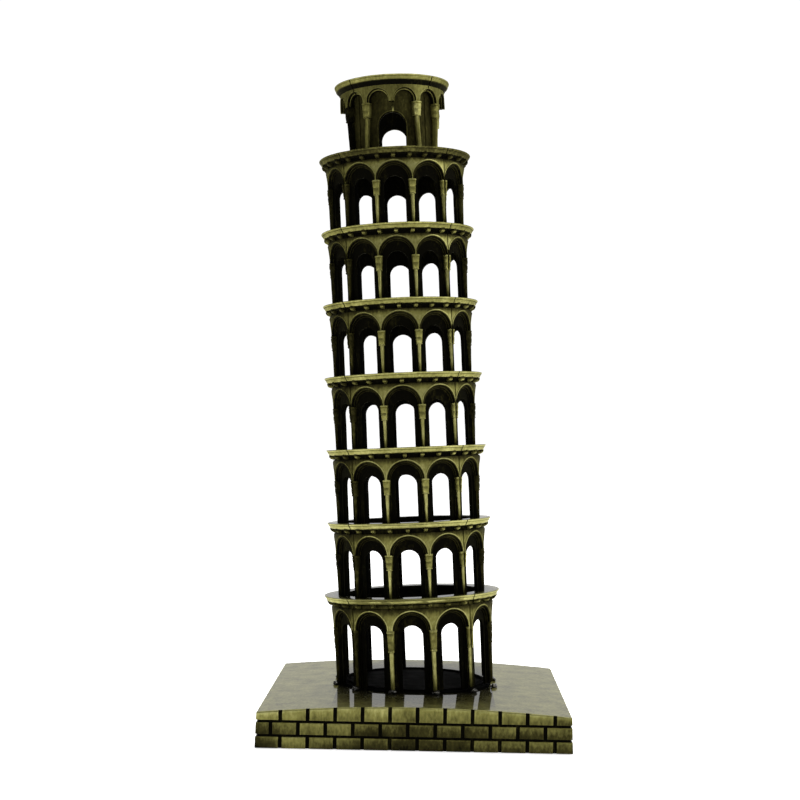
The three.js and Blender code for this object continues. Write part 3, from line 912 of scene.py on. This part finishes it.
def seam_bead(seam, angle, material):
    """A lumpy run of solder up the inside of one seam."""
    shells = Shells()
    first, last, step, clearance = 1.6, TOPS[-1] - 2.0, 0.9, 0.32
    count = round((last - first) / step)
    sections = []
    for i in range(count + 1):
        h = blend(first, last, i / count)
        level = sum(h > top - 1.6 for top in TOPS[:-1])
        radius = STOREYS[level][1] - WALL_DEPTH - clearance
        end = min(1, 0.35 + 2 * min(i, count - i) / 3)
        swell = 1 + 0.22 * noise.noise(Vector((angle, h / 2.1, 0)))
        half, thick = 0.6 * swell * end, 0.5 * swell * end
        section = []
        for k in range(10):
            turn = 2 * math.pi * k / 10
            x, depth = half * math.cos(turn), thick / 2 * (1 - math.sin(turn))
            section.append((across(angle, x, radius - depth, h), EVEN_WEAR))
        sections.append(section)
    shells.loft(sections)
    piece(f"solder_bead_{seam}", shells, material, [f"seam_solder_{seam}"], crease=60,
          place=lambda p: LEAN @ p, uneven=0.06)


def foot_drop(number, material):
    """A blob of solder that has run out round the foot of one column."""
    node = f"foot_solder_{number + 1:02d}"
    low, high = box_mm(node)
    middle = (low + high) / 2
    outward = (middle - FOOT).xy.normalized()
    along = Vector((-outward.y, outward.x))
    shells = Shells()
    rows, columns_round = 14, 24
    length, depth, height, sunk = 0.95, 0.7, 0.6, 0.28
    centre = FOOT.xy + outward * (STOREYS[0][1] + 0.1)
    sections = []
    for i in range(rows + 1):
        polar = math.pi * i / rows
        section = []
        for k in range(columns_round):
            turn = 2 * math.pi * k / columns_round
            direction = Vector((math.cos(turn), math.sin(turn), 0)) * math.sin(polar)
            direction.z = math.cos(polar)
            swell = 1 + 0.28 * noise.noise(direction * 1.7 + Vector((number * 7.3, 0, 0)))
            flat = centre + swell * (along * length * direction.x + outward * depth * direction.y)
            z = base_top(flat.x) + max(0, sunk + height * swell * direction.z)
            section.append((Vector((flat.x, flat.y, z)), EVEN_WEAR))
        sections.append(section)
    shells.loft(sections, weld="drop")
    piece(f"solder_drop_{number + 1:02d}", shells, material, [node], crease=60, uneven=0.02)


def felt_pad(material):
    """A square of felt with soft, slightly ragged edges, let into the underside."""
    size, count, edge, fraying = FELT_HIGH - FELT_LOW, 60, 0.18, 0.12
    shells = Shells()
    steps = [FELT_LOW.x + size.x * i / count for i in range(count + 1)]
    sides = []
    low, high = FELT_LOW.z, FELT_HIGH.z
    for z, inward in ((low, edge), (low + edge, 0.0), (high - edge, 0.0), (high, edge)):
        rim_points = [(x, FELT_LOW.y) for x in steps] + [(FELT_HIGH.x, y) for y in steps[1:]]
        rim_points += [(x, FELT_HIGH.y) for x in steps[-2::-1]] + [(FELT_LOW.x, y) for y in steps[-2:0:-1]]
        section = []
        for x, y in rim_points:
            ragged = 1 - (inward + fraying * abs(noise.noise(Vector((x, y, z * 2)) / 1.3))) / FELT_HIGH.x
            section.append((Vector((x * ragged, y * ragged, z)), EVEN_WEAR))
        sides.append(section)
    shells.loft(sides)
    made = piece("felt_square", shells, material, ["base_felt_pad"], crease=60, uneven=0.0)


# ---------------------------------------------------------------- materials

def nodes_of(material):
    material.use_nodes = True
    tree = material.node_tree
    return tree, tree.nodes["Principled BSDF"]


def add(tree, kind, inputs=(), **settings):
    """Adds a node, sets its attributes, and sets or links its inputs by name or number."""
    node = tree.nodes.new(kind)
    for key, value in settings.items():
        setattr(node, key, value)
    for key, value in dict(inputs).items():
        if isinstance(value, bpy.types.NodeSocket):
            tree.links.new(value, node.inputs[key])
        else:
            node.inputs[key].default_value = value
    return node


def grain(tree, scale, stretch=(1, 1, 1), detail=3.0, roughness=0.55):
    """Noise in the object's own metres; scale is features to a metre."""
    place = add(tree, "ShaderNodeTexCoord")
    mapped = add(tree, "ShaderNodeMapping", {"Vector": place.outputs["Object"], "Scale": stretch})
    made = add(tree, "ShaderNodeTexNoise", {"Vector": mapped.outputs["Vector"], "Scale": scale,
                                            "Detail": detail, "Roughness": roughness})
    return made.outputs["Fac"]


def math_node(tree, operation, a, b, clamp=False):
    return add(tree, "ShaderNodeMath", {0: a, 1: b}, operation=operation, use_clamp=clamp).outputs[0]


def remap(tree, value, low, high, new_low=0.0, new_high=1.0, kind="LINEAR"):
    """Takes values from low..high to new_low..new_high, and holds them at the ends."""
    inputs = {"Value": value, "From Min": low, "From Max": high, "To Min": new_low, "To Max": new_high}
    return add(tree, "ShaderNodeMapRange", inputs, interpolation_type=kind).outputs["Result"]


def ramp(tree, factor, stops):
    node = add(tree, "ShaderNodeValToRGB", {"Fac": factor})
    elements = node.color_ramp.elements
    elements[0].position, elements[0].color = stops[0][0], (*stops[0][1], 1)
    elements[1].position, elements[1].color = stops[-1][0], (*stops[-1][1], 1)
    for position, colour in stops[1:-1]:
        elements.new(position).color = (*colour, 1)
    return node.outputs["Color"]


PATINA = (0.0038, 0.0035, 0.002)
DARK_OLIVE = (0.045, 0.041, 0.012)
OLIVE = (0.19, 0.18, 0.052)
WORN = (0.38, 0.365, 0.135)


def antique_brass(name, stretch, roughness, lacquer):
    """Dark patina, worn through to brass where the attribute read below is high, and polished on top. Its
    low values stand for painted shade as well as patina.
    """
    material = bpy.data.materials.new(name)
    tree, shader = nodes_of(material)
    wear = add(tree, "ShaderNodeAttribute", attribute_name="wear").outputs["Fac"]
    blotches = grain(tree, 260, stretch)
    speckle = grain(tree, 1900, stretch, detail=4.0)
    mottle = math_node(tree, "ADD", math_node(tree, "MULTIPLY", blotches, 0.5),
                       math_node(tree, "MULTIPLY", speckle, 0.5))
    shifted = math_node(tree, "ADD", wear, math_node(tree, "SUBTRACT", mottle, 0.5), clamp=True)
    colour = ramp(tree, shifted, [(0.05, PATINA), (0.38, DARK_OLIVE), (0.72, OLIVE), (1.0, WORN)])
    tree.links.new(colour, shader.inputs["Base Color"])
    tree.links.new(remap(tree, shifted, 0.02, 0.3, 0.75), shader.inputs["Metallic"])
    shader.inputs["Specular IOR Level"].default_value = 0.05
    shader.inputs["Specular Tint"].default_value = (0.8, 0.79, 0.62, 1)
    tree.links.new(remap(tree, shifted, 0, 1, 0.8, roughness), shader.inputs["Roughness"])
    facing = add(tree, "ShaderNodeTexCoord").outputs["Normal"]
    upward = add(tree, "ShaderNodeSeparateXYZ", {"Vector": facing}).outputs["Z"]
    on_top = remap(tree, upward, 0.85, 0.97)
    tree.links.new(math_node(tree, "MULTIPLY", on_top, lacquer), shader.inputs["Coat Weight"])
    shader.inputs["Coat Roughness"].default_value = 0.03
    strength = remap(tree, on_top, 0, 1, 0.6, 0.03)
    bump = add(tree, "ShaderNodeBump", {"Height": mottle, "Strength": strength, "Distance": 0.00008})
    tree.links.new(bump.outputs["Normal"], shader.inputs["Normal"])
    return material


def plain_metal(name, low, high, scale, roughness, metallic, coat=0.0):
    """A metal of one kind, with its colour and roughness uneven."""
    material = bpy.data.materials.new(name)
    tree, shader = nodes_of(material)
    mottle = grain(tree, scale, detail=5.0)
    tree.links.new(ramp(tree, mottle, [(0.3, low), (0.7, high)]), shader.inputs["Base Color"])
    rough = remap(tree, mottle, 0.3, 0.7, roughness - 0.1, roughness + 0.1)
    tree.links.new(rough, shader.inputs["Roughness"])
    shader.inputs["Metallic"].default_value = metallic
    shader.inputs["Coat Weight"].default_value = coat
    shader.inputs["Coat Roughness"].default_value = 0.04
    bump = add(tree, "ShaderNodeBump", {"Height": mottle, "Strength": 0.4, "Distance": 0.0001})
    tree.links.new(bump.outputs["Normal"], shader.inputs["Normal"])
    return material


# ---------------------------------------------------------------- studio

def studio():
    """A pale floor, softboxes, and a world that is white behind the object and dimmer elsewhere."""
    scene = bpy.context.scene
    scene.view_settings.view_transform = "Standard"
    world = bpy.data.worlds.new("studio")
    scene.world = world
    world.use_nodes = True
    tree = world.node_tree
    direction = add(tree, "ShaderNodeTexCoord").outputs["Generated"]
    split = add(tree, "ShaderNodeSeparateXYZ", {"Vector": direction})
    sideways, depth = split.outputs["X"], split.outputs["Y"]
    level = remap(tree, depth, -0.2, 0.6, 0.24, 1.05, kind="SMOOTHSTEP")
    behind = remap(tree, depth, 0.1, 0.4, kind="SMOOTHSTEP")
    start = remap(tree, math_node(tree, "ABSOLUTE", sideways, 0.0), 0.28, 0.42, kind="SMOOTHSTEP")
    stop = remap(tree, sideways, 0.6, 0.85, 0.8, 0.0, kind="SMOOTHSTEP")
    wing = math_node(tree, "MULTIPLY", math_node(tree, "MULTIPLY", behind, start), stop)
    left = remap(tree, sideways, -0.95, -0.3, 0.25, 1.0, kind="SMOOTHSTEP")
    dimmed = math_node(tree, "MULTIPLY", left, math_node(tree, "SUBTRACT", 1.0, wing))
    strength = math_node(tree, "MULTIPLY", level, dimmed)
    tree.links.new(strength, tree.nodes["Background"].inputs["Strength"])
    tree.nodes["Background"].inputs["Color"].default_value = (1, 1, 1, 1)

    bpy.ops.mesh.primitive_plane_add(size=12, location=(0, 0, -0.05 * MM))
    floor = bpy.context.object
    floor.name = "floor"
    paper = bpy.data.materials.new("floor_paper")
    _, shader = nodes_of(paper)
    shader.inputs["Base Color"].default_value = (0.9, 0.9, 0.9, 1)
    shader.inputs["Roughness"].default_value = 0.9
    shader.inputs["Emission Color"].default_value = (1, 1, 1, 1)
    shader.inputs["Emission Strength"].default_value = 0.75
    floor.data.materials.append(paper)

    for name, place, size, power in (
        ("left_softbox", (-0.55, -0.15, 0.35), 0.4, 0.3),
        ("right_softbox", (0.55, -0.15, 0.35), 0.4, 1.2),
        ("top_softbox", (0.0, 0.05, 0.8), 0.7, 6.0),
    ):
        data = bpy.data.lights.new(name, "AREA")
        data.size, data.energy = size, power
        lamp = bpy.data.objects.new(name, data)
        lamp.location = place
        aim = Vector((0, 0, 0.06)) - lamp.location
        lamp.rotation_euler = aim.to_track_quat("-Z", "Y").to_euler()
        scene.collection.objects.link(lamp)


def camera():
    """Level with the tower's middle, a little to its right, turned slightly back to it."""
    place = Vector((3.75, -374.9, 71.2)) * MM
    yaw, pitch, roll = (math.radians(a) for a in (1.29, 0.36, 0.90))
    forward = Vector((-math.sin(yaw) * math.cos(pitch), math.cos(yaw) * math.cos(pitch), math.sin(pitch)))
    level_right = Vector((math.cos(yaw), math.sin(yaw), 0))
    level_up = level_right.cross(forward)
    right = math.cos(roll) * level_right + math.sin(roll) * level_up
    up = math.cos(roll) * level_up - math.sin(roll) * level_right
    data = bpy.data.cameras.new("camera")
    data.lens, data.sensor_width = 73.65, 36
    view = bpy.data.objects.new("camera", data)
    view.matrix_world = Matrix.Translation(place) @ Matrix((right, up, -forward)).transposed().to_4x4()
    bpy.context.scene.collection.objects.link(view)
    bpy.context.scene.camera = view


# ---------------------------------------------------------------- the object

cast = antique_brass("cast_brass", stretch=(1, 1, 0.6), roughness=0.33, lacquer=0.5)
brushed = antique_brass("brushed_brass", stretch=(1, 1, 0.5), roughness=0.36, lacquer=0.44)
solder = plain_metal("dark_solder", (0.012, 0.011, 0.009), (0.06, 0.057, 0.045), 900, 0.26, 0.95, coat=0.6)
tarnished = plain_metal(
    "tarnished_solder", (0.0012, 0.0011, 0.0008), (0.005, 0.0046, 0.0034), 900, 0.75, 0.3)
steel = plain_metal("screw_steel", (0.35, 0.35, 0.34), (0.6, 0.6, 0.58), 500, 0.35, 1.0)
# Nearly black and dull: the foot plate's dark finish, deepened to painted shade for the floor seen inside
# the tower.
lacquer = plain_metal("dark_finish_and_shade", (0.0006, 0.0006, 0.0005), (0.0015, 0.0015, 0.0012), 400, 0.85, 0.0)
for dull in (lacquer, tarnished):
    dull.node_tree.nodes["Principled BSDF"].inputs["Specular IOR Level"].default_value = 0.02
felt = plain_metal("felt_pile", (0.012, 0.013, 0.011), (0.04, 0.042, 0.036), 2500, 0.88, 0.0)

for quarter_index in range(4):
    tower_quarter(quarter_index, cast)
base(brushed)
foot_plate(lacquer)
felt_pad(felt)
for number, side in enumerate(QUARTERS):
    place_x, place_y = screw_places()[number]
    washer(side, place_x, place_y, steel)
    screw(side, place_x, place_y, steel)
for number, seam in enumerate(("front_right", "back_right", "back_left", "front_left")):
    seam_bead(seam, 45 + 90 * number, tarnished)
for number in range(12):
    foot_drop(number, solder)
studio()
camera()
